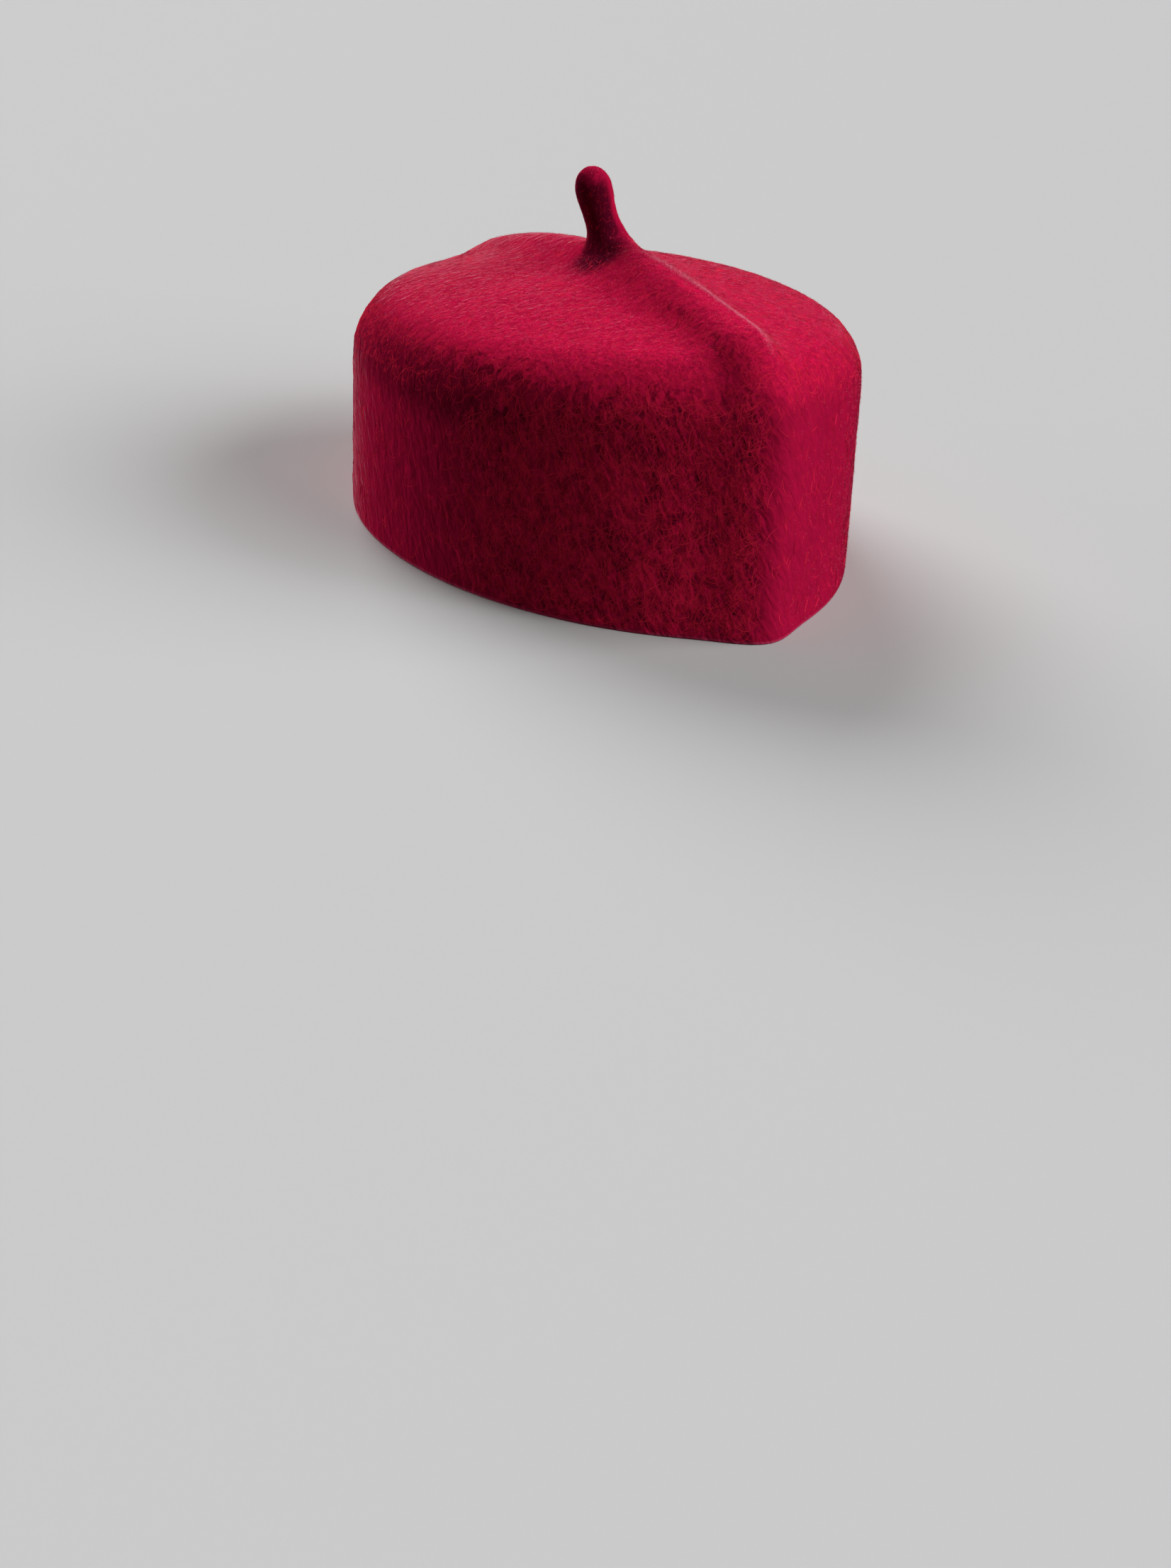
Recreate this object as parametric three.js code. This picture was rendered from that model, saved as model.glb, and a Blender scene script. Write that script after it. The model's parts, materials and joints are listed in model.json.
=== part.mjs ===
// A one-piece cap of fulled wool felt: an upright wall, a domed crown with a fold pinched along its middle,
// and a stalk felted in one with the crown. Millimetres, +Z up, the front towards -Y.
// The origin lies on the surface that the rim rests on, at the middle of the cap's length.
import * as THREE from "three";

// Thickness of the felt
const FELT = 2.5;

// Plan of the cap at the rim and at the crown's edge: reach from the stalk's axis
const RIM = { front: 115.5, back: 93, side: 81.5 };
const CROWN_EDGE = { front: 112, back: 96, side: 82.3 };

// How the plan closes at its two ends: 1 is an ellipse, more comes to a point, less is squarer.
// The point is blunted within a small share of the plan's half width.
const END_POWER = { front: 1.26, back: 0.89 };
const END_BLUNT = 0.1;

// Crown: its height at the stalk, its rise towards the front for each millimetre,
// and its drop from the stalk to its edge
const CROWN_HEIGHT = 91.2;
const CROWN_SLOPE = 0.079;
const CROWN_DROP = { front: 10.2, back: 16.5, side: 17 };
const SHOULDER_RADIUS = 16;

// Pinched fold along the middle plane, at places from the back to the front: height of its roll, and how far
// each flank reaches to the wearer's right and left. A flank with a high power is flat on top and then steep;
// one with a low power falls away at once, so that the crest is crisp.
const CROWN_FOLD = [
  { y: 20, height: 6.2, right: 11.5, rightPower: 2, left: 12, leftPower: 2 },
  { y: -15, height: 9.6, right: 13, rightPower: 2.1, left: 12.8, leftPower: 1.85 },
  { y: -87, height: 7.7, right: 12.5, rightPower: 4, left: 7.5, leftPower: 1.4 },
];
const WALL_FOLD = [
  { y: 20, height: 1.5, right: 16, rightPower: 2, left: 13.5, leftPower: 2 },
  { y: -20, height: 5.4, right: 16, rightPower: 2, left: 13.5, leftPower: 2 },
];

// Dents beside the fold: centre from the stalk's axis, spread across the fold and along it, and depth
const DENTS = [
  { x: 22, y: -98, z: 81, across: 12, along: 18, depth: 0.8 },
  { x: -20, y: -108, z: 40, across: 8, along: 35, depth: 0.7 },
];

// Stalk: a round foot on the crown, then sections by their rise above the crown, and the rounded tip.
// It leans by the given amounts towards the wearer's right and back, and its foot is set off the other way.
const STALK_LEAN = new THREE.Vector3(-0.873, 0.488, 0);
const STALK_FOOT = { radius: 14.5, lean: -4.8 };
const STALK = [
  { rise: 13.5, lean: 2, radius: 6.5 },
  { rise: 17, lean: 3.7, radius: 6 },
  { rise: 20.5, lean: 5.0, radius: 6.2 },
  { rise: 23.5, lean: 5.9, radius: 6.5 },
  { rise: 26.5, lean: 6.6, radius: 6.55 },
];
const STALK_TIP = { rise: 34, lean: 7.2 };
// Pull of the fillet between foot and stalk, as shares of the straight way
const FILLET_PULL = { foot: 0.25, neck: 0.25 };

// Points round each ring, how much closer they lie at the fold, and the rings on each stretch
const AROUND = 80;
const CROWDING = 0.55;
const ROWS = { wall: 8, shoulder: 7, crown: 12, foot: 5, tip: 4 };
const INNER_ROWS = { wall: 5, shoulder: 5, crown: 9 };

const felt = new THREE.MeshStandardMaterial({ color: 0xb2183c, roughness: 0.95, metalness: 0 });

// Angles round the plan, from the front (-Y) over the wearer's left (+X)
const ANGLES = Array.from({ length: AROUND }, (_, i) => {
  const even = (2 * Math.PI * i) / AROUND;
  return even - (CROWDING / 2) * Math.sin(2 * even);
});

// Value of a front, back and side size at an angle, blended by the square of the cosine
function blendedSize(size, angle) {
  const cosine = Math.cos(angle);
  const end = cosine > 0 ? size.front : size.back;
  return size.side + (end - size.side) * cosine ** 2;
}

// Point of a plan at an angle, seen from the stalk's axis
function planPoint(plan, angle) {
  const [sine, cosine] = [Math.sin(angle), Math.cos(angle)];
  const power = cosine > 0 ? END_POWER.front : END_POWER.back;
  const reach = cosine > 0 ? plan.front : plan.back;
  const closing = (Math.hypot(sine, END_BLUNT) / Math.hypot(1, END_BLUNT)) ** (power - 1);
  return new THREE.Vector2(plan.side * sine * closing, -reach * cosine);
}

// Plain form without the fold. The way along it runs from 0 at the rim to 1 at the top of the wall,
// 2 at the inner end of the shoulder and 3 at the stalk's axis.
function plainPoint(angle, way) {
  const rim = planPoint(RIM, angle);
  const edge = planPoint(CROWN_EDGE, angle);
  const shoulderShare = SHOULDER_RADIUS / edge.length();
  const drop = blendedSize(CROWN_DROP, angle);
  const crownZ = (share) => CROWN_HEIGHT - CROWN_SLOPE * edge.y * share - drop * share ** 2;
  if (way <= 1) {
    const wall = rim.lerp(edge, way);
    return new THREE.Vector3(wall.x, wall.y, (crownZ(1) - SHOULDER_RADIUS) * way);
  }
  const turn = (Math.min(way - 1, 1) * Math.PI) / 2;
  const shoulderEnd = 1 - shoulderShare * (1 - Math.cos(turn));
  const share = way <= 2 ? shoulderEnd : (1 - shoulderShare) * (3 - way);
  const sunk = SHOULDER_RADIUS * (1 - Math.sin(turn));
  return new THREE.Vector3(edge.x * share, edge.y * share, crownZ(share) - sunk);
}

// Outward direction of the plain form, from two short steps on it
function plainNormal(angle, way) {
  const step = 1e-3;
  const from = Math.max(way - step, 0);
  const to = Math.min(way + step, 3 - step);
  const across = plainPoint(angle + step, way).sub(plainPoint(angle - step, way));
  const up = plainPoint(angle, to).sub(plainPoint(angle, from));
  return across.cross(up).normalize();
}

// Height of a fold's roll over a point of the plain form, from the two rows of its table around that point
function rollHeight(fold, point) {
  const ahead = fold.findIndex((row) => row.y < point.y);
  const next = ahead < 0 ? fold.length - 1 : Math.max(ahead, 1);
  const [from, to] = [fold[next - 1], fold[next]];
  const share = THREE.MathUtils.smoothstep(-point.y, -from.y, -to.y);
  const size = (column) => THREE.MathUtils.lerp(from[column], to[column], share);
  const flank = point.x < 0 ? "right" : "left";
  const away = Math.abs(point.x) / size(flank);
  return size("height") * Math.exp(-(away ** size(`${flank}Power`)));
}

// Height of the fold and dents over a point of the plain form
function foldHeight(point, normal) {
  const crownShare = Math.max(0, normal.z) ** 2;
  const wallShare = normal.y ** 2 * (1 - crownShare);
  const rolls = crownShare * rollHeight(CROWN_FOLD, point) + wallShare * rollHeight(WALL_FOLD, point);
  const sunk = DENTS.map((dent) => {
    const across = (point.x - dent.x) / dent.across;
    const along = Math.hypot(point.y - dent.y, point.z - dent.z) / dent.along;
    return dent.depth * Math.exp(-(across ** 2) - along ** 2);
  });
  return sunk.reduce((height, depth) => height - depth, rolls);
}

// Point of the felt's outer face, or of its inner face at the felt's depth below it
function feltPoint(angle, way, depth) {
  const point = plainPoint(angle, way);
  const normal = plainNormal(angle, way);
  point.addScaledVector(normal, foldHeight(point, normal) - depth);
  if (way === 0) point.z = 0;
  return point;
}

const ringOf = (pointAt) => ANGLES.map(pointAt);

// Rings of a stretch of the felt, from one place on the way to another, without the last
function feltRings(from, to, rows, depth) {
  return Array.from({ length: rows }, (_, row) => {
    const way = from + ((to - from) * row) / rows;
    return ringOf((angle) => feltPoint(angle, way, depth));
  });
}

// Place on the way where the crown meets the round foot of the stalk
function footWay(angle) {
  const edge = planPoint(CROWN_EDGE, angle);
  const outward = edge.clone().normalize();
  const along = STALK_FOOT.lean * outward.dot(STALK_LEAN);
  const across = STALK_FOOT.lean * outward.cross(STALK_LEAN);
  const footReach = along + Math.sqrt(STALK_FOOT.radius ** 2 - across ** 2);
  return 3 - footReach / (edge.length() - SHOULDER_RADIUS);
}

// Rings of the outer crown, from the shoulder to the stalk's foot
const crownRings = Array.from({ length: ROWS.crown + 1 }, (_, row) =>
  ringOf((angle) => feltPoint(angle, THREE.MathUtils.lerp(2, footWay(angle), row / ROWS.crown), 0)),
);

function stalkCentre({ rise, lean }) {
  return new THREE.Vector3(0, 0, CROWN_HEIGHT + rise).addScaledVector(STALK_LEAN, lean);
}

// Point of a stalk section in the direction of an angle
function stalkPoint(section, angle) {
  const outward = planPoint(CROWN_EDGE, angle).setLength(section.radius);
  return stalkCentre(section).add(new THREE.Vector3(outward.x, outward.y, 0));
}

// Fillet from the crown at the stalk's foot up to the lowest section of the stalk
const filletCurves = ANGLES.map((angle, i) => {
  const foot = crownRings[ROWS.crown][i];
  const inward = foot.clone().sub(crownRings[ROWS.crown - 1][i]).normalize();
  const neck = stalkPoint(STALK[0], angle);
  const upward = stalkCentre(STALK[1]).sub(stalkCentre(STALK[0])).normalize();
  const way = foot.distanceTo(neck);
  const leaving = foot.clone().addScaledVector(inward, FILLET_PULL.foot * way);
  const arriving = neck.clone().addScaledVector(upward, -FILLET_PULL.neck * way);
  return new THREE.CubicBezierCurve3(foot, leaving, arriving, neck);
});
const filletRings = Array.from({ length: ROWS.foot - 1 }, (_, row) =>
  filletCurves.map((curve) => curve.getPoint((row + 1) / ROWS.foot)),
);

// Rounded tip over the stalk's widest section
const bulb = STALK[STALK.length - 1];
const tipRings = Array.from({ length: ROWS.tip - 1 }, (_, row) => {
  const turn = ((row + 1) / ROWS.tip) * (Math.PI / 2);
  const section = {
    rise: THREE.MathUtils.lerp(bulb.rise, STALK_TIP.rise, Math.sin(turn)),
    lean: THREE.MathUtils.lerp(bulb.lean, STALK_TIP.lean, Math.sin(turn)),
    radius: bulb.radius * Math.cos(turn),
  };
  return ringOf((angle) => stalkPoint(section, angle));
});

const outerRings = [
  ...feltRings(0, 1, ROWS.wall, 0),
  ...feltRings(1, 2, ROWS.shoulder, 0),
  ...crownRings,
  ...filletRings,
  ...STALK.map((section) => ringOf((angle) => stalkPoint(section, angle))),
  ...tipRings,
];
const innerRings = [
  ...feltRings(0, 1, INNER_ROWS.wall, FELT),
  ...feltRings(1, 2, INNER_ROWS.shoulder, FELT),
  ...feltRings(2, 3, INNER_ROWS.crown, FELT),
];

// Closed skin from a first point over rings, each of them counterclockwise seen from above, to a last point.
// Each patch between two rings is split along its shorter diagonal, so that the fold runs smoothly.
function skinOver(firstPoint, rings, lastPoint) {
  const points = [firstPoint, ...rings.flat(), lastPoint];
  const last = points.length - 1;
  const at = (ring, i) => 1 + ring * AROUND + (i % AROUND);
  const triangles = [];
  for (let i = 0; i < AROUND; i++) {
    triangles.push(0, at(0, i), at(0, i + 1));
    for (let ring = 1; ring < rings.length; ring++) {
      const [upper, upperNext] = [at(ring - 1, i), at(ring - 1, i + 1)];
      const [lower, lowerNext] = [at(ring, i), at(ring, i + 1)];
      const rising = points[lower].distanceTo(points[upperNext]);
      const falling = points[lowerNext].distanceTo(points[upper]);
      if (rising < falling) triangles.push(lower, lowerNext, upperNext, lower, upperNext, upper);
      else triangles.push(lower, lowerNext, upper, lowerNext, upperNext, upper);
    }
    triangles.push(last, at(rings.length - 1, i + 1), at(rings.length - 1, i));
  }
  const geometry = new THREE.BufferGeometry().setFromPoints(points);
  geometry.setIndex(triangles);
  return geometry;
}

// The skin runs from the stalk's tip down the outside, under the rim and up the inside to below the stalk
const hollowTop = new THREE.Vector3(0, 0, feltPoint(0, 3, FELT).z);
const capGeometry = skinOver(stalkCentre(STALK_TIP), [...outerRings.reverse(), ...innerRings], hollowTop);

// The cap's length is centred on the origin
capGeometry.computeBoundingBox();
const { min, max } = capGeometry.boundingBox;
capGeometry.translate(0, -(min.y + max.y) / 2, 0);
capGeometry.computeVertexNormals();

const cap = new THREE.Mesh(capGeometry, felt);
cap.name = "felt_cap";

const part = new THREE.Group();
part.add(cap);
export default part;
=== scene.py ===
# %% [markdown]
# # An Igbo cap of red wool felt
# The cap is one piece of fulled wool felt: an upright wall, a domed crown with a fold pinched along
# its middle, and a short stalk drawn up out of the crown. This lesson gives that plain solid the
# looks of felt. The steps are the felt body, the loose wool and the nap on it, the zones and the
# finishes, and the studio that shows it all. Lengths are metres. The front of the cap points to -Y
# and the wearer's left is +X.

# %% Load the frame
import json
import math

import bpy
import numpy as np
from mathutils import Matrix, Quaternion, Vector
from mathutils.bvhtree import BVHTree

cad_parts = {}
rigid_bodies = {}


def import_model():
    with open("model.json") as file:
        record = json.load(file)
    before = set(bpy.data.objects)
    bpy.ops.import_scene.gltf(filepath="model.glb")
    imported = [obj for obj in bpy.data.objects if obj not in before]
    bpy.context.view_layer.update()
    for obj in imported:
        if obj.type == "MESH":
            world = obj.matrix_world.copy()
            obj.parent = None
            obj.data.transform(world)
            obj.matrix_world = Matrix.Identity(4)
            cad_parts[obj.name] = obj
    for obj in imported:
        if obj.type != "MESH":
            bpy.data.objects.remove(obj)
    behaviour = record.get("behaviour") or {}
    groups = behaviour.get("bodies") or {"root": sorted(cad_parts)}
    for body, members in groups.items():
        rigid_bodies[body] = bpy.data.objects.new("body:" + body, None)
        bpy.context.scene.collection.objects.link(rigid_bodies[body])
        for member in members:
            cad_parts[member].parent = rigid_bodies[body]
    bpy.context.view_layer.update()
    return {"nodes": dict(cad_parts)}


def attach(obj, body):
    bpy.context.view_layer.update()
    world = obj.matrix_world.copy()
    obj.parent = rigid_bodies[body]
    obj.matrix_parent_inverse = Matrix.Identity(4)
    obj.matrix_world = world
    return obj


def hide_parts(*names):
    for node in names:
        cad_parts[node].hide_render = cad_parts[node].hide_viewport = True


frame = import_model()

MM = 0.001

# %% [markdown]
# ## The felt body
# On the real cap the body is a hood of wet felt that was pulled over a block, dried, and cut off at
# the rim. The solid in the frame already has that blocked shape, but in flat facets. The shape could
# be modelled again from a circle, ring after ring, and would then have to be matched twice. So the
# felt starts as a copy of the solid: its loose triangles are merged, paired into quads and later
# rounded by a Subdivision Surface.

# %% Copy the solid and pair its triangles into quads
MERGE_DISTANCE = 0.001 * MM
ANY_ANGLE = math.pi


def work_on(piece):
    """Make one piece the only selected and the active object."""
    bpy.ops.object.select_all(action="DESELECT")
    piece.select_set(True)
    bpy.context.view_layer.objects.active = piece


solid = frame["nodes"]["felt_cap"]
felt_body = bpy.data.objects.new("felt_body", solid.data.copy())
bpy.context.scene.collection.objects.link(felt_body)
work_on(felt_body)
bpy.ops.object.mode_set(mode="EDIT")
bpy.ops.mesh.select_all(action="SELECT")
bpy.ops.mesh.remove_doubles(threshold=MERGE_DISTANCE)
bpy.ops.mesh.tris_convert_to_quads(
    face_threshold=ANY_ANGLE, shape_threshold=ANY_ANGLE, topology_influence=1.0
)
bpy.ops.object.mode_set(mode="OBJECT")
print("felt net:", len(felt_body.data.vertices), "points,", len(felt_body.data.polygons), "faces")

# %% [markdown]
# The rim of the real cap was cut with shears, so its two edges are crisp but not sharp: felt gives a
# little. A Bevel modifier could round every edge of the net. Only two edges were cut, so the
# underside of the rim is selected by its place and normal, turned into its two border loops, and
# these alone are bevelled.

# %% Round the cut edges of the rim
CUT_EDGE_RADIUS = 0.6 * MM
RIM_TOLERANCE = 0.01 * MM
FACES_DOWN = -0.9

bpy.ops.object.mode_set(mode="EDIT")
bpy.ops.mesh.select_all(action="DESELECT")
bpy.ops.object.mode_set(mode="OBJECT")
for face in felt_body.data.polygons:
    face.select = face.normal.z < FACES_DOWN and face.center.z < RIM_TOLERANCE
bpy.ops.object.mode_set(mode="EDIT")
bpy.ops.mesh.select_mode(type="FACE")
bpy.ops.mesh.region_to_loop()
bpy.ops.mesh.bevel(offset=CUT_EDGE_RADIUS, segments=2, affect="EDGES")
bpy.ops.object.mode_set(mode="OBJECT")
print("rim rounded:", len(felt_body.data.polygons), "faces")

# %% [markdown]
# A blocked felt has no corners other than the cut edges. Sculpting could soften the facets of the
# net by hand. A Subdivision Surface does it evenly, and also gives the next step enough points to
# work on.

# %% Smooth the felt
def finish_with(piece, kind, **settings):
    """Add a modifier with these settings to a piece and apply it."""
    work_on(piece)
    modifier = piece.modifiers.new(kind.title(), kind)
    for name, value in settings.items():
        setattr(modifier, name, value)
    bpy.ops.object.modifier_apply(modifier=modifier.name)


finish_with(felt_body, "SUBSURF", levels=2, render_levels=2)
print("smooth felt:", len(felt_body.data.polygons), "faces")

# %% [markdown]
# Felt is never as even as a moulded shell. Fulling leaves soft lumps a few millimetres wide, which
# show as a slight unevenness in low light. Bump in the material could fake them, but not along the
# outline, so a Displace modifier really raises and sinks the outer face. A vertex group keeps it off
# the inside and lets it fade out towards the rim, which stays flat because the cap rests on it.

# %% Give the felt its lumps
HOLLOW_MIDDLE = np.array([0, 0.012, 0.045])
LUMP_WIDTH = 7 * MM
LUMP_HEIGHT = 0.35 * MM
RIM_FADE = 8 * MM


def vertex_arrays(mesh):
    """Places and normals of all points of a mesh, as two arrays."""
    points = np.empty(len(mesh.vertices) * 3, np.float32)
    directions = np.empty(len(mesh.vertices) * 3, np.float32)
    mesh.vertices.foreach_get("co", points)
    mesh.vertex_normals.foreach_get("vector", directions)
    return points.reshape(-1, 3).astype(float), directions.reshape(-1, 3).astype(float)


places, normals = vertex_arrays(felt_body.data)
faces_out = ((places - HOLLOW_MIDDLE) * normals).sum(1) > 0
lumpiness = np.where(faces_out, np.clip(places[:, 2] / RIM_FADE, 0, 1), 0)
outer_face = felt_body.vertex_groups.new(name="outer_face")
for index in np.flatnonzero(lumpiness):
    outer_face.add([int(index)], float(lumpiness[index]), "REPLACE")
lumps = bpy.data.textures.new("felt_lumps", "CLOUDS")
lumps.noise_scale = LUMP_WIDTH
finish_with(
    felt_body, "DISPLACE", texture=lumps, texture_coords="LOCAL",
    strength=LUMP_HEIGHT, mid_level=0.5, vertex_group="outer_face",
)
bpy.ops.object.shade_smooth()
print("felt body:", 2 * len(felt_body.data.polygons), "triangles")

# %% [markdown]
# ## The loose wool
# A fulled felt is brushed, so the ends of its wool stand up in a short nap. Most of it is too fine
# to model, but here and there a strand of fibres lies on the surface, curls, and shows at the cap's
# edge as fuzz. A particle system could grow such hair. It would not travel with the mesh, so each
# strand is real geometry: a slim spindle with three sides, extruded span by span, modelled a few
# times with different curls and then copied over the felt.

# %% Model strands of wool
STRAND_LENGTH = 8 * MM
STRAND_WIDTH = 0.24 * MM
STRAND_SIDES = 3
STRAND_TAPER = (0.25, 0.9, 1, 0.8, 0.2)
STRAND_CURLS = (-26, -16, -8, 4, 10, 17, 24, 32)
SPAN_LENGTH = STRAND_LENGTH / (len(STRAND_TAPER) - 1)


def model_strand(curl):
    """A slim spindle along +Y that turns by the curl, in degrees, at each of its spans."""
    turn = math.radians(curl)
    bpy.ops.object.select_all(action="DESELECT")
    bpy.ops.mesh.primitive_circle_add(
        vertices=STRAND_SIDES, radius=STRAND_WIDTH / 2, fill_type="NGON",
        rotation=(math.radians(-90), 0, 0),
    )
    strand = bpy.context.object
    strand.name = f"wool_strand_{curl}"
    bpy.ops.object.transform_apply(location=False, rotation=True, scale=False)
    bpy.ops.object.mode_set(mode="EDIT")
    bpy.ops.mesh.select_all(action="SELECT")
    bpy.ops.transform.resize(value=(STRAND_TAPER[0],) * 3)
    heading = 0
    tip = Vector()
    for width_before, width in zip(STRAND_TAPER, STRAND_TAPER[1:]):
        span = Vector((-math.sin(heading), math.cos(heading), 0)) * SPAN_LENGTH
        tip += span
        heading += turn
        bpy.ops.mesh.extrude_region_move(TRANSFORM_OT_translate={"value": span})
        bpy.ops.transform.rotate(value=-turn, orient_axis="Z", center_override=tip)
        bpy.ops.transform.resize(value=(width / width_before,) * 3, center_override=tip)
    bpy.ops.mesh.select_all(action="SELECT")
    bpy.ops.mesh.quads_convert_to_tris()
    bpy.ops.object.mode_set(mode="OBJECT")
    return strand


strands = [model_strand(curl) for curl in STRAND_CURLS]
print("strands:", len(strands), "with", len(strands[0].data.polygons), "triangles each")

# %% [markdown]
# Wool is not loose everywhere alike: one side of the wall, beside the fold, is ruffled, and the
# stalk has only short ends. To place strands by such regions, each triangle of the felt is measured
# once: its area, the way it faces, and whether it belongs to the outside, the ruffled side or the
# stalk.

# %% Measure the felt's triangles
STALK_AXIS = np.array([0, 0.0117])
STALK_REACH = 13 * MM
STALK_FOOT_HEIGHT = 97 * MM
# The side that the lights only graze: its wall gets more loose wool and is painted darker, a painted
# shade.
RUFFLED_SHADED_SIDE = np.array([-0.68, -0.73, 0])
RUFFLED_FACING = (0.84, 0.98)
SMOOTH_CHANCE = 0.06
SQUARE_CM = 1e-4


def share_between(values, low, high):
    """0 below the low value, 1 above the high one, and smooth between them."""
    part = np.clip((values - low) / (high - low), 0, 1)
    return part * part * (3 - 2 * part)


felt_body.data.calc_loop_triangles()
corners = np.array([triangle.vertices for triangle in felt_body.data.loop_triangles])
places, normals = vertex_arrays(felt_body.data)
centres = places[corners].mean(1)
sides = places[corners[:, 1:]] - places[corners[:, :1]]
facing = np.cross(sides[:, 0], sides[:, 1])
areas = np.linalg.norm(facing, axis=1) / 2
facing /= 2 * areas[:, None]
is_outer = ((centres - HOLLOW_MIDDLE) * facing).sum(1) > 0
ruffled_chance = SMOOTH_CHANCE + share_between(facing @ RUFFLED_SHADED_SIDE, *RUFFLED_FACING)
near_axis = np.linalg.norm(centres[:, :2] - STALK_AXIS, axis=1) < STALK_REACH
is_stalk = near_axis & (centres[:, 2] > STALK_FOOT_HEIGHT)
print("outer felt:", round(areas[is_outer].sum() / SQUARE_CM), "square centimetres")

# %% [markdown]
# The strands go on like wool in carding: at random spots, but brushed one way. On the wall the nap
# hangs down and leans a little; on the crown it runs from the fold out to both sides. Spots are
# drawn on the felt's own triangles, each as often as its area asks, so that every strand starts on
# the cloth. The random numbers have a fixed seed, so that the cap comes out the same each time.

# %% Choose spots on the felt, and the way that its nap is brushed
RANDOM_SEED = 7
NAP_LEAN = math.radians(20)
FRONT_WALL = np.array([[0, -0.1, 0.03]])
FRONT = np.array([[0, -1.0, 0]])
rng = np.random.default_rng(RANDOM_SEED)


def scatter(count, chance):
    """Spots and normals at random places of the felt, with a chance for each triangle."""
    share = areas * chance
    chosen = corners[rng.choice(len(corners), count, p=share / share.sum())]
    mix = rng.dirichlet((1, 1, 1), count)[:, :, None]
    spots = (places[chosen] * mix).sum(1)
    ups = (normals[chosen] * mix).sum(1)
    return spots, ups / np.linalg.norm(ups, axis=1, keepdims=True)


def brushed(spots, ups):
    """The way that the nap lies: outwards from the fold on the crown, down and leaning on the wall."""
    flatness = np.clip(ups[:, 2:], 0, 1) ** 2
    outwards = np.sign(spots[:, :1]) * np.array([[1.0, 0, 0]])
    down = np.array([[0, 0, -1.0]])
    lean = np.cross(down, ups) * math.tan(NAP_LEAN)
    along = flatness * outwards + (1 - flatness) * (down + lean)
    along -= (along * ups).sum(1, keepdims=True) * ups
    return along / np.linalg.norm(along, axis=1, keepdims=True)


print("nap on the front wall runs along", brushed(FRONT_WALL, FRONT)[0].round(2))

# %% [markdown]
# Thousands of separate objects would be slow, so all copies of one kind become one mesh. Two things
# keep them quiet. Each point takes the normal of the felt at the strand's root, so a strand is lit
# like the felt that it lies on and doesn't glitter with its own thin sides. And the strands cast no
# shadow, which at this width would be noise. Every copy also keeps one tone of its own, as an
# attribute that its material reads.

# %% Join copies into one mesh
def net_of(piece):
    """Points and triangles of a modelled piece, as arrays."""
    points, _ = vertex_arrays(piece.data)
    piece.data.calc_loop_triangles()
    return points, np.array([triangle.vertices for triangle in piece.data.loop_triangles])


def join_copies(name, groups):
    """One mesh of many copies; each copy has one tone and is lit like the felt at its root."""
    points = []
    triangles = []
    tones = []
    ups = []
    used = 0
    for copies, links, copy_tones, copy_ups in groups:
        count, size = copies.shape[:2]
        starts = used + size * np.arange(count)
        points.append(copies.reshape(-1, 3))
        triangles.append((links[None] + starts[:, None, None]).reshape(-1, 3))
        tones.append(np.repeat(copy_tones, size))
        ups.append(np.repeat(copy_ups, size, axis=0))
        used += count * size
    mesh = bpy.data.meshes.new(name)
    mesh.from_pydata(np.concatenate(points), [], np.concatenate(triangles))
    tone_values = mesh.attributes.new("tone", "FLOAT", "POINT")
    tone_values.data.foreach_set("value", np.concatenate(tones))
    mesh.normals_split_custom_set_from_vertices(np.concatenate(ups))
    piece = bpy.data.objects.new(name, mesh)
    bpy.context.scene.collection.objects.link(piece)
    piece.visible_shadow = False
    print(name, "has", len(mesh.polygons), "triangles")
    return piece


strand_nets = [net_of(strand) for strand in strands]
for strand in strands:
    bpy.data.objects.remove(strand)
print("points of each strand:", [len(points) for points, _ in strand_nets])

# %% [markdown]
# A straight copy would float off the curved felt or dive into it. A Shrinkwrap modifier could press
# a mesh on the felt, but would flatten the spindles too. So only the middle of each ring of a strand
# is moved to the nearest spot of the felt, and the ring goes along unchanged. A tree of the felt's
# triangles finds that spot quickly.

# %% Press points on the felt
felt_surface = BVHTree.FromPolygons(places, corners)


def pressed_on(points, rises):
    """Points moved to the nearest spot of the felt and raised from it."""
    pressed = np.empty_like(points)
    for index, (point, rise) in enumerate(zip(points, rises)):
        spot, normal, _, _ = felt_surface.find_nearest(point)
        pressed[index] = spot + normal * rise
    return pressed


print("pressing on a felt of", len(corners), "triangles")

# %% [markdown]
# A strand on the real felt is held at its root and near its tip, and bows up between them. A low
# arch lifts the belly of each copy off the felt in the same way. Copies that would hang over the rim
# are left out, so that the cap still rests on its cut edge.

# %% Lay copies of the strands
RIM_CLEARANCE = 1 * MM
STRAND_ARCH = np.array([0, 0.8, 1, 0.8, 0.1])
RISE_SHARES = (0.1, 1)


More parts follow.
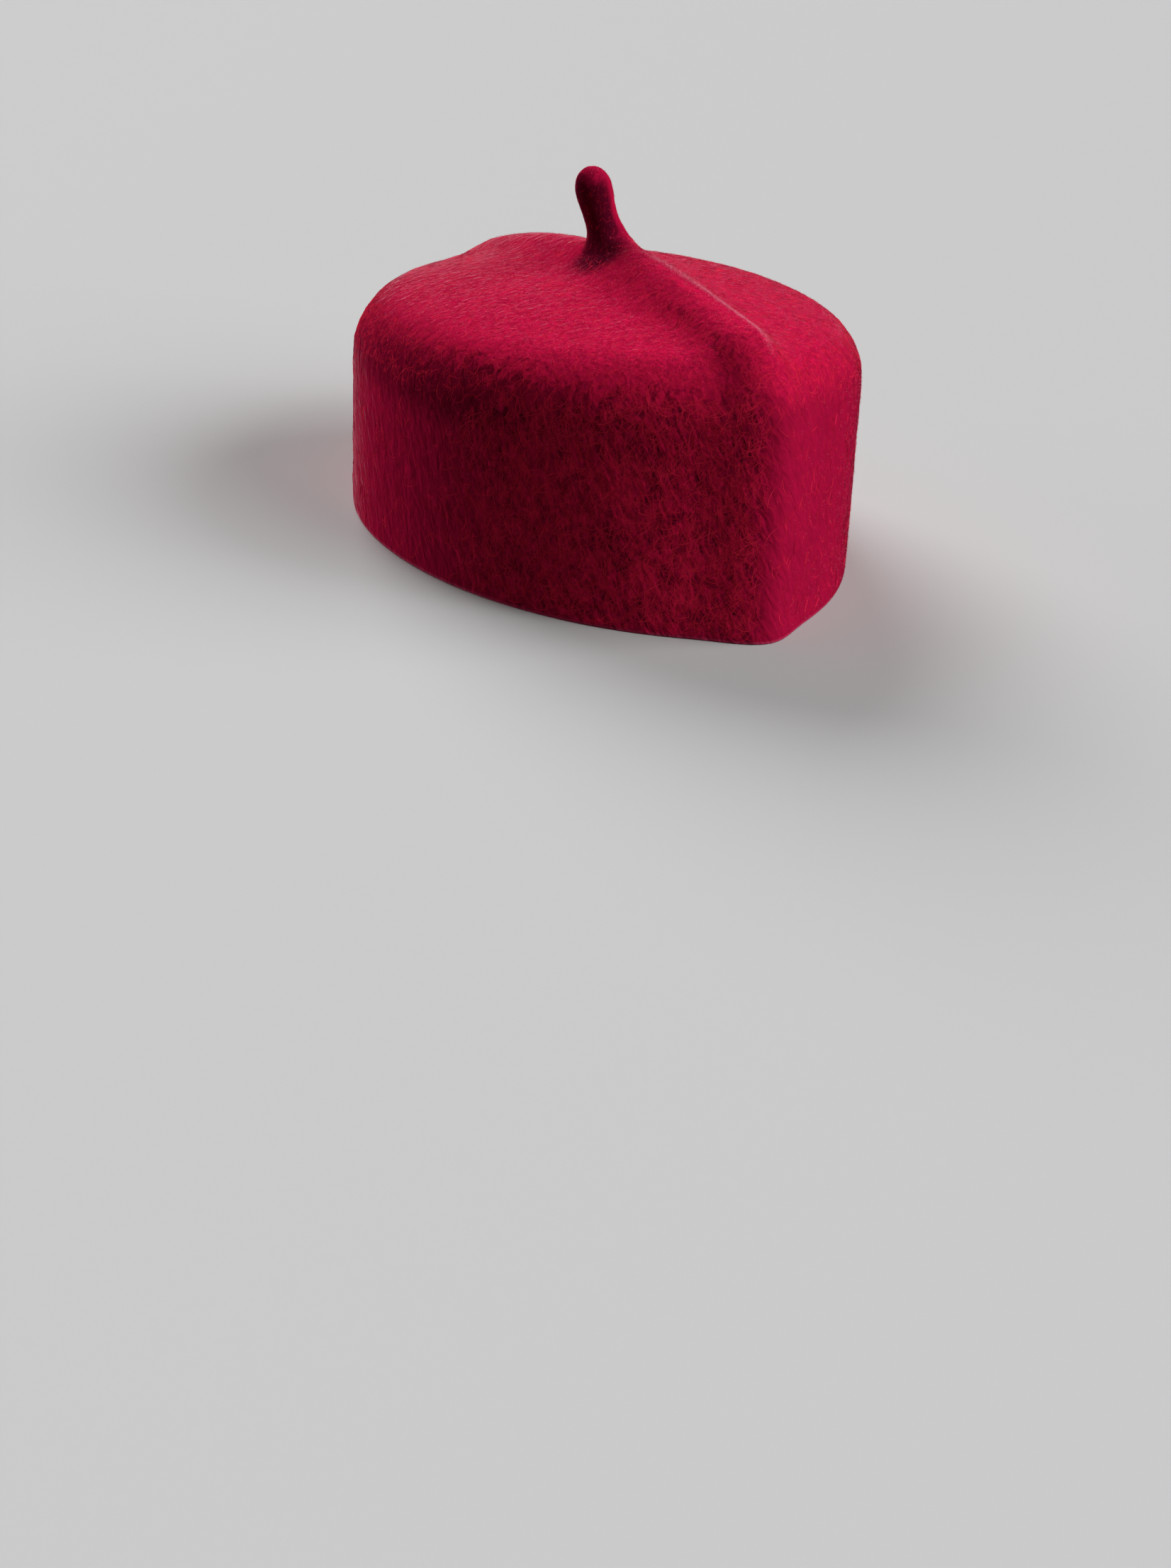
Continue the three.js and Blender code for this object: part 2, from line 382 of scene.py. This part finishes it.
def lay_strands(name, chance, count, sizes, spread, rise, shades):
    """One mesh of strand copies that hug the felt, turned off the brushed way by the spread."""
    spots, ups = scatter(count, chance)
    alongs = brushed(spots, ups)
    swing = rng.normal(0, math.radians(spread), (count, 1))
    alongs = alongs * np.cos(swing) + np.cross(ups, alongs) * np.sin(swing)
    turns = np.stack([np.cross(alongs, ups), alongs, ups], 2)
    turns *= rng.uniform(*sizes, (count, 1, 1))
    kinds = rng.integers(len(strand_nets), size=count)
    rises = rng.uniform(*RISE_SHARES, (count, 1)) * rise
    tones = rng.uniform(*shades, count)
    groups = []
    for kind, (shape, links) in enumerate(strand_nets):
        mine = kinds == kind
        rings = np.einsum("nij,rcj->nrci", turns[mine], shape.reshape(-1, STRAND_SIDES, 3))
        rings += spots[mine][:, None, None]
        middles = rings.mean(2)
        arches = rises[mine] * STRAND_ARCH
        pressed = pressed_on(middles.reshape(-1, 3), arches.ravel()).reshape(middles.shape)
        rings += (pressed - middles)[:, :, None]
        kept = pressed[:, :, 2].min(1) > RIM_CLEARANCE
        copies = rings[kept].reshape(-1, len(shape), 3)
        groups.append((copies, links, tones[mine][kept], ups[mine][kept]))
    return join_copies(name, groups)


print("strands bow up by", RISE_SHARES, "of each layer's rise")

# %% [markdown]
# The wall's strands are long and keep near the brushed way, most of them on the ruffled side. On the
# shoulder, where the nap turns from the crown's way to the wall's, they are short and tangled. The
# crown's are of middle length, and the stalk has only ends. Sizes are shares of the modelled strand,
# spreads are degrees, and shades are the darkest and the lightest tone, from 0 to 1.

# %% Lay the loose wool
CROWN_UPNESS = 0.55
SHOULDER_UPNESS = (0.25, 0.8)

upness = facing[:, 2]
is_hood = is_outer & ~is_stalk
on_wall = is_hood & (upness < CROWN_UPNESS)
on_crown = is_hood & (upness >= CROWN_UPNESS)
on_shoulder = is_hood & (upness > SHOULDER_UPNESS[0]) & (upness < SHOULDER_UPNESS[1])
wall_wool = lay_strands(
    "wall_wool", on_wall * ruffled_chance, count=6700,
    sizes=(0.4, 1), spread=35, rise=0.15 * MM, shades=(0.05, 0.85),
)
shoulder_wool = lay_strands(
    "shoulder_wool", on_shoulder, count=5000,
    sizes=(0.25, 0.6), spread=60, rise=0.25 * MM, shades=(0, 0.8),
)
crown_wool = lay_strands(
    "crown_wool", on_crown, count=5000,
    sizes=(0.3, 0.7), spread=40, rise=0.15 * MM, shades=(0, 0.8),
)
stalk_wool = lay_strands(
    "stalk_wool", is_stalk, count=700,
    sizes=(0.15, 0.3), spread=40, rise=0.15 * MM, shades=(0, 0.8),
)
loose_wools = (wall_wool, shoulder_wool, crown_wool, stalk_wool)

# %% [markdown]
# ## The raised nap
# Brushing also lifts single fibre ends, shorter than a millimetre. They make the outline of the
# crown soft and gather along the crest of the fold, where they and a painted highlight make a pale
# line. Real ends are two or three times finer; these are drawn as thick as it takes to show. Curves
# could stand for them, but a cone with three sides, standing on its base, has only four faces and
# tapers as they do.

# %% Model one hair
HAIR_LENGTH = 0.8 * MM
HAIR_WIDTH = 0.07 * MM
HAIR_SIDES = 3

bpy.ops.object.select_all(action="DESELECT")
bpy.ops.mesh.primitive_cone_add(
    vertices=HAIR_SIDES, radius1=HAIR_WIDTH / 2, depth=HAIR_LENGTH, location=(0, 0, HAIR_LENGTH / 2)
)
hair = bpy.context.object
bpy.ops.object.transform_apply(location=True, rotation=False, scale=False)
hair_points, hair_links = net_of(hair)
bpy.data.objects.remove(hair)
print("one hair:", len(hair_links), "triangles")

# %% [markdown]
# The ends stand closest on felt that faces up or to the wearer's left, and are sparse elsewhere.
# Along the crest their chance rises in a soft band a few millimetres wide, so that no edge of it
# shows.

# %% Choose where the nap stands
SPARSE_CHANCE = 0.08
NAPPED_UPNESS = (0.5, 0.9)
NAPPED_LEFTNESS = (0.5, 0.95)
CREST_OFFSET = 1 * MM
CREST_WIDTH = 3 * MM
CREST_MIDDLE = -55 * MM
CREST_REACH = 50 * MM
CREST_FULL_REACH = 35 * MM
CREST_UPNESS = (0.6, 0.85)
CREST_DENSITY = 12
SQUARE_MM = 1e-6


def nearness_to_crest(spots):
    """1 on the crest of the fold, fading to 0 at its sides and towards its ends."""
    across = np.abs(spots[:, 0] - CREST_OFFSET)
    along = np.abs(spots[:, 1] - CREST_MIDDLE)
    aside_share = share_between(across, 0, CREST_WIDTH)
    beyond_share = share_between(along, CREST_FULL_REACH, CREST_REACH)
    return (1 - aside_share) * (1 - beyond_share)


on_crest = nearness_to_crest(centres) * share_between(upness, *CREST_UPNESS)
napped_chance = SPARSE_CHANCE + np.maximum(
    share_between(upness, *NAPPED_UPNESS), share_between(facing[:, 0], *NAPPED_LEFTNESS)
)
napped_chance += CREST_DENSITY * on_crest
print("crest of the fold:", round((areas * on_crest).sum() / SQUARE_MM), "square millimetres")

# %% [markdown]
# Each end leans off the felt's normal by chance. A turn for a copy is three directions at right
# angles: the hair's own, one across it, and the one across both. The hair's own direction is also
# scaled to its length. On the crest the ends are painted paler: a painted highlight along the fold.

# %% Raise the nap
HAIR_COUNT = 40000
HAIR_LEAN = 0.4
HAIR_LENGTHS = (0.4, 1)
HAIR_SHADES = (0, 0.6)
# Painted highlight: ends near the crest are painted paler.
CREST_PAINTED_HIGHLIGHT = 0.3

spots, ups = scatter(HAIR_COUNT, is_outer * napped_chance)
stands = ups + rng.normal(0, HAIR_LEAN, (HAIR_COUNT, 3))
stands /= np.linalg.norm(stands, axis=1, keepdims=True)
across = np.cross(stands, np.roll(stands, 1, axis=1))
across /= np.linalg.norm(across, axis=1, keepdims=True)
turns = np.stack([across, np.cross(stands, across), stands], 2)
turns[:, :, 2] *= rng.uniform(*HAIR_LENGTHS, (HAIR_COUNT, 1))
hairs = np.einsum("nij,pj->npi", turns, hair_points) + spots[:, None]
kept = hairs[:, :, 2].min(1) > RIM_CLEARANCE
tones = rng.uniform(*HAIR_SHADES, HAIR_COUNT) + CREST_PAINTED_HIGHLIGHT * nearness_to_crest(spots)
nap = join_copies("raised_nap", [(hairs[kept], hair_links, tones[kept], ups[kept])])

# %% [markdown]
# ## The zones of the felt
# The felt of the real cap isn't one even red. Its crown is brushed flat and has a grain of its own,
# and it is also painted lighter: painted light on the top. The ruffled wall, which the lights only
# graze, is painted darker, a painted shade, and so are one side of the stalk and the crook at its
# foot. Such zones could be painted by hand. Here each one is a share from 0 to 1 for every point of
# the felt, worked out from the point's place and normal, and kept as an attribute that the material
# reads.

# %% Mark the painted shade on one side of the stalk and in its crook
STALK_CROOK = np.array([-8, 4.5, 98]) * MM
CROOK_FADE = (5 * MM, 15 * MM)
SHAFT_START = (98 * MM, 104 * MM)
SHAFT_END = (119 * MM, 125 * MM)
PAINTED_SHADE_FACING = (0.15, 0.6)

heights = places[:, 2]
from_crook = np.linalg.norm(places - STALK_CROOK, axis=1)
crook_painted_shade = 1 - share_between(from_crook, *CROOK_FADE)
shaft_painted_shade = share_between(heights, *SHAFT_START) * (1 - share_between(heights, *SHAFT_END))
# Painted shade on the side of the stalk that faces away from the lights, and in its crook.
shaft_painted_shade *= share_between(normals @ RUFFLED_SHADED_SIDE, *PAINTED_SHADE_FACING)
stalk_painted_shade = np.maximum(crook_painted_shade, shaft_painted_shade)
print("dark on the stalk:", int((stalk_painted_shade > 0.5).sum()), "points")

# %% [markdown]
# The brushed crown ends on the shoulder, lower at the front than at the sides. Beside the ruffled
# wall its border is ragged, and where the shoulder faces the wearer's right, away from the lights, a
# soft band of painted shade lies below it.

# %% Mark the crown, its border, the shoulder's painted shade and the ruffled side
CROWN_FACING = (0.5, 1)
CROWN_FRONT_REACH = 0.4
CROWN_TOP = (98 * MM, 106 * MM)
BORDER_FACING = (0.5, 0.95)
BORDER_FRONT = (-98 * MM, -82 * MM)
SHOULDER_START = (50 * MM, 63 * MM)
SHOULDER_END = (0.5, 0.85)
SHOULDER_FACING = (0.8, 1)
LEAST_TILT = 0.1

crown_share = share_between(normals[:, 2] - CROWN_FRONT_REACH * normals[:, 1], *CROWN_FACING)
crown_share *= 1 - share_between(heights, *CROWN_TOP)
# The ruffled side, which the lights only graze, is painted darker: a painted shade.
ruffled_painted_shade_share = share_between(normals @ RUFFLED_SHADED_SIDE, *RUFFLED_FACING)
tilts = np.linalg.norm(normals[:, :2], axis=1, keepdims=True)
sideways = normals[:, :2] / np.maximum(tilts, LEAST_TILT)
border_share = share_between(sideways @ RUFFLED_SHADED_SIDE[:2], *BORDER_FACING)
border_share *= share_between(places[:, 1], *BORDER_FRONT)
# Painted shade on the shoulder where it faces the wearer's right, away from the lights.
painted_shoulder_shade = share_between(heights, *SHOULDER_START)
painted_shoulder_shade *= 1 - share_between(normals[:, 2], *SHOULDER_END)
painted_shoulder_shade *= share_between(-sideways[:, 0], *SHOULDER_FACING)
print("crown covers", round(100 * crown_share.mean()), "percent of the points")

# %% [markdown]
# The inside of the cap stays plain felt, so the zones count only on the outside. The underside of
# the leaning stalk faces the middle of the cap, but belongs to the outside too, as everything does
# above the stalk's foot.

# %% Keep the zones as attributes
zone_shares = {
    "on_crown": crown_share,
    "painted_stalk_shade": stalk_painted_shade,
    "ruffled_and_painted_shade": ruffled_painted_shade_share,
    "crown_border": border_share,
    "on_shoulder": painted_shoulder_shade,
}
outside = faces_out | (heights > STALK_FOOT_HEIGHT)
for name, zone_share in zone_shares.items():
    marks = felt_body.data.attributes.new(name, "FLOAT", "POINT")
    marks.data.foreach_set("value", zone_share * outside)
print("zones on", int(outside.sum()), "of", len(outside), "points")

# %% [markdown]
# ## The finish: fulled wool felt
# Fulled felt is a mat of fine crimped wool, dyed crimson. It has no gloss; its loose ends catch
# light at a grazing angle, so that edges look paler, and its pits drink the light, so that low light
# shows them dark. A picture could be wrapped round the cap, but would show its seams. Noise on the
# object's own coordinates has none, so the colour is built from noises of the sizes that felt has,
# and weighed in each zone as it shows there.

# %% Start the felt's material
CAP_RADIUS = 90 * MM


def add_node(tree, kind, inputs, output=0, **settings):
    """Add a shader node; an input is a value or the output that feeds it. Gives one output back."""
    node = tree.nodes.new("ShaderNode" + kind)
    for name, value in settings.items():
        setattr(node, name, value)
    for key, value in inputs.items():
        if isinstance(value, bpy.types.NodeSocket):
            tree.links.new(value, node.inputs[key])
        else:
            node.inputs[key].default_value = value
    return node.outputs[output] if node.outputs else None


def new_material(name):
    """An empty material, and its node tree."""
    material = bpy.data.materials.new(name)
    material.use_nodes = True
    material.node_tree.nodes.clear()
    return material, material.node_tree


felt, tree = new_material("fulled_wool_felt")
coordinates = add_node(tree, "TexCoord", {}, output="Object")
height = add_node(tree, "SeparateXYZ", {"Vector": coordinates}, output="Z")
zone = {}
for name in zone_shares:
    zone[name] = add_node(tree, "Attribute", {}, output="Fac", attribute_name=name)
# The nap leans, so its patterns twist about the upright axis, more the higher they are.
nap_twist = math.tan(NAP_LEAN) / CAP_RADIUS
twist = add_node(tree, "Math", {0: height, 1: nap_twist}, operation="MULTIPLY")
leaning = add_node(
    tree, "VectorRotate", {"Vector": coordinates, "Angle": twist}, rotation_type="Z_AXIS"
)
print("felt finish reads", len(zone), "zones")

# %% [markdown]
# Wool felt shows detail at several sizes at once: wisps and pits about three millimetres wide,
# clouds of five, and patches of dye of fourteen. Single fibres are far too fine to show, so the
# finest pattern is drawn as bundles about a millimetre wide. A noise is made for each. Its scale is
# one over the width in metres, and a stretch below 1 draws it out along that axis.

# %% Make a noise for each size of detail
NOISE_ROUGHNESS = 0.6
NOISE_DISTORTION = 0.5
# Name of the pattern: the way it lies, its stretch, its width and its finer layers
PATTERNS = {
    "pits": (leaning, (1, 1, 0.5), 3 * MM, 1),
    "wall_wisps": (leaning, (1, 1, 0.45), 3.2 * MM, 3),
    "crown_wisps": (coordinates, (0.7, 1, 1), 2.4 * MM, 4),
    "fine_fibres": (leaning, (1, 1, 0.4), 1.1 * MM, 2),
    "clouds": (leaning, (1, 1, 0.5), 5 * MM, 2),
    "patches": (coordinates, (1, 1, 0.7), 14 * MM, 1),
    "tufts": (coordinates, (1, 1, 0.6), 3 * MM, 3),
}

noise = {}
for name, (lie, stretch, width, finer_layers) in PATTERNS.items():
    stretched = add_node(tree, "Mapping", {"Vector": lie, "Scale": stretch})
    noise[name] = add_node(tree, "TexNoise", {
        "Vector": stretched, "Scale": 1 / width, "Detail": finer_layers,
        "Roughness": NOISE_ROUGHNESS, "Distortion": NOISE_DISTORTION,
    })
print("noises:", ", ".join(noise))

# %% [markdown]
# A wisp is a line of fibres. Where a noise passes its middle value it draws such lines, thin and
# branching, so the wisps are the places where the noise is near one half. Pits are the low places of
# another noise.

# %% Draw the wisps and the pits
NOISE_MIDDLE = 0.5
WISP_REACH = 0.075
PIT_RANGE = (0.3, 0.56)

wisps = {}
for name in ("wall_wisps", "crown_wisps"):
    offset = add_node(tree, "Math", {0: noise[name], 1: NOISE_MIDDLE}, operation="SUBTRACT")
    distance = add_node(tree, "Math", {0: offset}, operation="ABSOLUTE")
    wisps[name] = add_node(
        tree, "MapRange", {"Value": distance, "From Min": WISP_REACH, "From Max": 0},
        interpolation_type="SMOOTHSTEP",
    )
all_wisps = add_node(
    tree, "Mix", {0: zone["on_crown"], 2: wisps["wall_wisps"], 3: wisps["crown_wisps"]}
)
filled = add_node(
    tree, "MapRange", {"Value": noise["pits"], "From Min": PIT_RANGE[0], "From Max": PIT_RANGE[1]},
    interpolation_type="SMOOTHSTEP",
)
print("wisps:", ", ".join(wisps))

# %% [markdown]
# The border of the brushed crown is ragged, because it ends tuft by tuft. The tufts' noise is added
# to the crown's share and cut at a narrow range, so that the border steps in and out by the width of
# a tuft. This also sharpens the edge between the crown's painted light and the darker wall below.

# %% Fray the border of the crown
TUFT_REACH = 2.5
BORDER_RANGE = (1.4, 1.9)
BORDER_CONTRAST = 0.8

tufted = add_node(
    tree, "Math", {0: noise["tufts"], 1: TUFT_REACH, 2: zone["on_crown"]}, operation="MULTIPLY_ADD"
)
brushed_flat = add_node(
    tree, "MapRange", {"Value": tufted, "From Min": BORDER_RANGE[0], "From Max": BORDER_RANGE[1]},
    interpolation_type="SMOOTHSTEP",
)
beyond_crown = add_node(
    tree, "Math", {0: brushed_flat, 1: zone["on_crown"]}, operation="SUBTRACT"
)
border_tone = add_node(tree, "Math", {0: beyond_crown, 1: BORDER_CONTRAST}, operation="MULTIPLY")
print("border frayed by", TUFT_REACH, "times the tufts")

# %% [markdown]
# All patterns now add up to one tone, from the dark of a pit to the light of a wisp. On smooth felt
# each has only a small share. The ruffled side gets only grazing light: there the felt starts much
# darker, a painted shade, and every pattern counts for more, painting the strong light and shade
# that grazing light gives its relief. The crown is lifted lighter, a painted light, and the shoulder
# below its border darker, a painted shade.

# %% Add the patterns up to one tone
# Share of the tone on smooth felt, and on the ruffled side
SHARES = {
    "start": (0.18, -0.8),
    "wisps": (0.06, 0.62),
    "pits": (0.08, 0.4),
    "clouds": (0.16, 0.75),
}
CROWN_WISP_SHARE = 0.4
FIBRE_SHARE = 0.24
# Painted light lifts the crown; painted shade darkens the shoulder below its border.
CROWN_PAINTED_LIGHT = 0.17
SHOULDER_PAINTED_SHADE = -0.45
TONE_RANGE = 1.25

share = {}
for name, (smooth, rough) in SHARES.items():
    share[name] = add_node(
        tree, "MapRange", {"Value": zone["ruffled_and_painted_shade"], "To Min": smooth, "To Max": rough}
    )
wisp_share = add_node(tree, "Mix", {0: zone["on_crown"], 2: share["wisps"], 3: CROWN_WISP_SHARE})
layers = (
    (all_wisps, wisp_share),
    (filled, share["pits"]),
    (noise["clouds"], share["clouds"]),
    (noise["patches"], share["clouds"]),
    (noise["fine_fibres"], FIBRE_SHARE),
    (border_tone, zone["crown_border"]),
    (zone["on_crown"], CROWN_PAINTED_LIGHT),
    (zone["on_shoulder"], SHOULDER_PAINTED_SHADE),
)
tone_sum = share["start"]
for pattern, amount in layers:
    tone_sum = add_node(
        tree, "Math", {0: pattern, 1: amount, 2: tone_sum}, operation="MULTIPLY_ADD"
    )
tone = add_node(tree, "MapRange", {"Value": tone_sum, "From Max": TONE_RANGE})
print("tone of", len(layers), "layers")

# %% [markdown]
# The tone picks a colour between the dark and the light of the dye. The painted shade on the stalk
# has a colour of its own. At the rim the shears opened the felt, and the cut fibres look paler there.

# %% Colour the felt
FELT_DARK = "#6c0726"
FELT_LIGHT = "#df174c"
# Colour of the painted shade on the stalk.
PAINTED_STALK_SHADE_COLOUR = "#520720"
FELT_CUT = "#c83c60"
CUT_RANGE = (1.4 * MM, 0.4 * MM)


def linear(hex_colour):
    """An sRGB hex colour as linear red, green, blue and alpha."""
    parts = [int(hex_colour[i:i + 2], 16) / 255 for i in (1, 3, 5)]
    return [p / 12.92 if p <= 0.04045 else ((p + 0.055) / 1.055) ** 2.4 for p in parts] + [1]


at_cut = add_node(
    tree, "MapRange", {"Value": height, "From Min": CUT_RANGE[0], "From Max": CUT_RANGE[1]}
)
felt_colour = linear(FELT_DARK)
for amount, colour in ((tone, FELT_LIGHT), (zone["painted_stalk_shade"], PAINTED_STALK_SHADE_COLOUR), (at_cut, FELT_CUT)):
    felt_colour = add_node(
        tree, "Mix", {0: amount, 6: felt_colour, 7: linear(colour)}, output=2, data_type="RGBA"
    )
print("felt from", FELT_DARK, "to", FELT_LIGHT)

# %% [markdown]
# To the eye felt is quite matte: rough, and with a pinkish sheen from the ends that stand up. Wool's
# index of refraction is about 1.5, but its crossed fibres scatter every reflection, so the mirror of
# the shader is off. Bump follows the same pits and wisps as the colour, and the wisps stand out more
# on the brushed crown.

# %% Finish the felt
PIT_DEPTH = 1 * MM
PIT_STRENGTH = 0.6
WISP_DEPTH = 0.15 * MM
WISP_STRENGTH = (0.15, 0.4)
NAP_SHEEN = "#ffb0c0"

pit_relief = add_node(
    tree, "Bump", {"Height": noise["pits"], "Distance": PIT_DEPTH, "Strength": PIT_STRENGTH}
)
wisp_strength = add_node(
    tree, "MapRange",
    {"Value": zone["on_crown"], "To Min": WISP_STRENGTH[0], "To Max": WISP_STRENGTH[1]},
)
relief = add_node(tree, "Bump", {
    "Height": all_wisps, "Distance": WISP_DEPTH, "Strength": wisp_strength, "Normal": pit_relief,
})
felt_look = add_node(tree, "BsdfPrincipled", {
    "Base Color": felt_colour, "Roughness": 0.95, "IOR": 1.5, "Specular IOR Level": 0,
    "Sheen Weight": 0.85, "Sheen Roughness": 0.15, "Sheen Tint": linear(NAP_SHEEN),
    "Normal": relief,
})
add_node(tree, "OutputMaterial", {"Surface": felt_look})
felt_body.data.materials.clear()
felt_body.data.materials.append(felt)
print("felt finish:", len(tree.nodes), "nodes")

# %% [markdown]
# ## The finish: wool fibres
# Strands and raised ends are the same dyed wool as the felt, but loose: matte, brighter than the mat
# because no pits shade them, and each with a tone of its own. The ends of the nap are thin enough to
# let light through and look paler. Hair shaders exist, but the exported model wouldn't keep them, so
# both finishes are plain matte ones that read the tone of every copy.

# %% Finish the loose wool and the nap
STRAND_DARK = "#9a0a28"
STRAND_LIGHT = "#f8304e"
HAIR_DARK = "#b51c44"
HAIR_LIGHT = "#f28aa2"


def fibre_finish(name, dark, light):
    """Matte dyed wool, with a colour between two by the tone of each fibre."""
    material, tree = new_material(name)
    own_tone = add_node(tree, "Attribute", {}, output="Fac", attribute_name="tone")
    colour = add_node(
        tree, "Mix", {0: own_tone, 6: linear(dark), 7: linear(light)}, output=2, data_type="RGBA"
    )
    look = add_node(tree, "BsdfPrincipled", {
        "Base Color": colour, "Roughness": 0.9, "IOR": 1.5, "Specular IOR Level": 0,
    })
    add_node(tree, "OutputMaterial", {"Surface": look})
    return material


strand_finish = fibre_finish("loose_wool_strands", STRAND_DARK, STRAND_LIGHT)
for wool in loose_wools:
    wool.data.materials.append(strand_finish)
nap.data.materials.append(fibre_finish("raised_nap_hairs", HAIR_DARK, HAIR_LIGHT))
print("fibre finishes on", len(loose_wools) + 1, "pieces")

# %% [markdown]
# ## The studio
# The cap rests on its rim on a plain pale floor of matte paper, wide enough to fill the view from
# any side. One of the lights comes from a little below the floor's level, and a pale floor would
# also throw light up on the wall. So the floor casts no shadow and isn't seen by bounced light, but
# it still shows the shade of the cap.

# %% Floor
FLOOR_SIZE = 60
FLOOR_GREY = "#c6c6c6"

bpy.ops.object.select_all(action="DESELECT")
bpy.ops.mesh.primitive_plane_add(size=FLOOR_SIZE)
floor = bpy.context.object
floor.name = "studio_floor"
floor_paper, tree = new_material("matte_background_paper")
paper_look = add_node(tree, "BsdfPrincipled", {
    "Base Color": linear(FLOOR_GREY), "Roughness": 0.9, "Specular IOR Level": 0.1,
})
add_node(tree, "OutputMaterial", {"Surface": paper_look})
floor.data.materials.append(floor_paper)
floor.visible_diffuse = False
floor.visible_shadow = False
print("floor:", FLOOR_SIZE, "m wide")

# %% [markdown]
# The camera stands where the photograph was taken from: its angles, its distance and its focal
# length in pixels were fitted to the cap's outline. It could be aimed with a Track To constraint.
# Instead it is turned so that one known point, the foot of the stalk, falls on its own pixel, which
# also sets the framing.

# %% Camera
PHOTO_WIDTH = 1652
PHOTO_HEIGHT = 2213
SENSOR = 36
FOCAL_PIXELS = 4510
CAMERA_AZIMUTH = math.radians(-29.488)
CAMERA_ELEVATION = math.radians(16.395)
CAMERA_ROLL = math.radians(3.572)
CAMERA_DISTANCE = 1.1
STALK_FOOT = Vector((0, 0.0117, 0.09118))
STALK_FOOT_PIXEL = (858.47, 375.02)

back = Vector((
    math.sin(CAMERA_AZIMUTH) * math.cos(CAMERA_ELEVATION),
    -math.cos(CAMERA_AZIMUTH) * math.cos(CAMERA_ELEVATION),
    math.sin(CAMERA_ELEVATION),
))
towards_foot = Vector((
    (STALK_FOOT_PIXEL[0] - PHOTO_WIDTH / 2) / FOCAL_PIXELS,
    (PHOTO_HEIGHT / 2 - STALK_FOOT_PIXEL[1]) / FOCAL_PIXELS,
    -1,
)).normalized()
lens = bpy.data.cameras.new("camera")
lens.sensor_width = SENSOR
lens.lens = FOCAL_PIXELS * SENSOR / PHOTO_HEIGHT
camera = bpy.data.objects.new("camera", lens)
bpy.context.scene.collection.objects.link(camera)
camera.rotation_mode = "QUATERNION"
camera.rotation_quaternion = (
    back.to_track_quat("Z", "Y")
    @ Quaternion((0, 0, 1), CAMERA_ROLL)
    @ towards_foot.rotation_difference(Vector((0, 0, -1)))
)
camera.location = STALK_FOOT + back * CAMERA_DISTANCE
bpy.context.scene.camera = camera
print("camera at", tuple(round(value, 3) for value in camera.location))

# %% [markdown]
# The light is that of a plain studio. Two soft lights stand in front on the wearer's left, one
# shines from behind over the crown, and two low ones brush the wearer's right from behind. The front
# of that side gets only grazing light, so the pits of its wall show. Area lamps would fade with
# distance; suns with a wide angle stay even all over the cap and still make soft shade.

# %% Lights
LIGHT_ANGLE = math.radians(40)
# A sun of pi watts for each square metre lights a white matte face that looks at it to full white.
FULL_WHITE = math.pi
# Name of the light: its azimuth from +X towards +Y, its elevation, both in degrees, and its strength
LIGHTS = {
    "key_light": (-60, 32, 0.49),
    "side_light": (-30, 32, 0.54),
    "back_light": (90, 32, 0.89),
    "rim_light": (120, -12, 0.42),
    "fill_light": (150, 10, 0.1),
}

for name, (azimuth, elevation, strength) in LIGHTS.items():
    around = math.radians(azimuth)
    up = math.radians(elevation)
    level = math.cos(up)
    way = Vector((level * math.cos(around), level * math.sin(around), math.sin(up)))
    light = bpy.data.lights.new(name, "SUN")
    light.energy = strength * FULL_WHITE
    light.angle = LIGHT_ANGLE
    lamp = bpy.data.objects.new(name, light)
    bpy.context.scene.collection.objects.link(lamp)
    lamp.rotation_mode = "QUATERNION"
    lamp.rotation_quaternion = way.to_track_quat("Z", "Y")
print("lights:", ", ".join(LIGHTS))

# %% [markdown]
# No other light fills the studio, so the air around the cap is black. The Standard view transform
# shows the felt's red as it is; a filmic one would pale it.

# %% Air and view
world = bpy.data.worlds.new("studio_air")
world.use_nodes = True
world.node_tree.nodes["Background"].inputs["Color"].default_value = (0, 0, 0, 1)
bpy.context.scene.world = world
bpy.context.scene.view_settings.view_transform = "Standard"
print("view transform:", bpy.context.scene.view_settings.view_transform)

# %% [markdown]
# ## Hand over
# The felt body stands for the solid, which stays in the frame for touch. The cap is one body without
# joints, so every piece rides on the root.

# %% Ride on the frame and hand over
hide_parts("felt_cap")
for piece in (felt_body, *loose_wools, nap):
    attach(piece, "root")
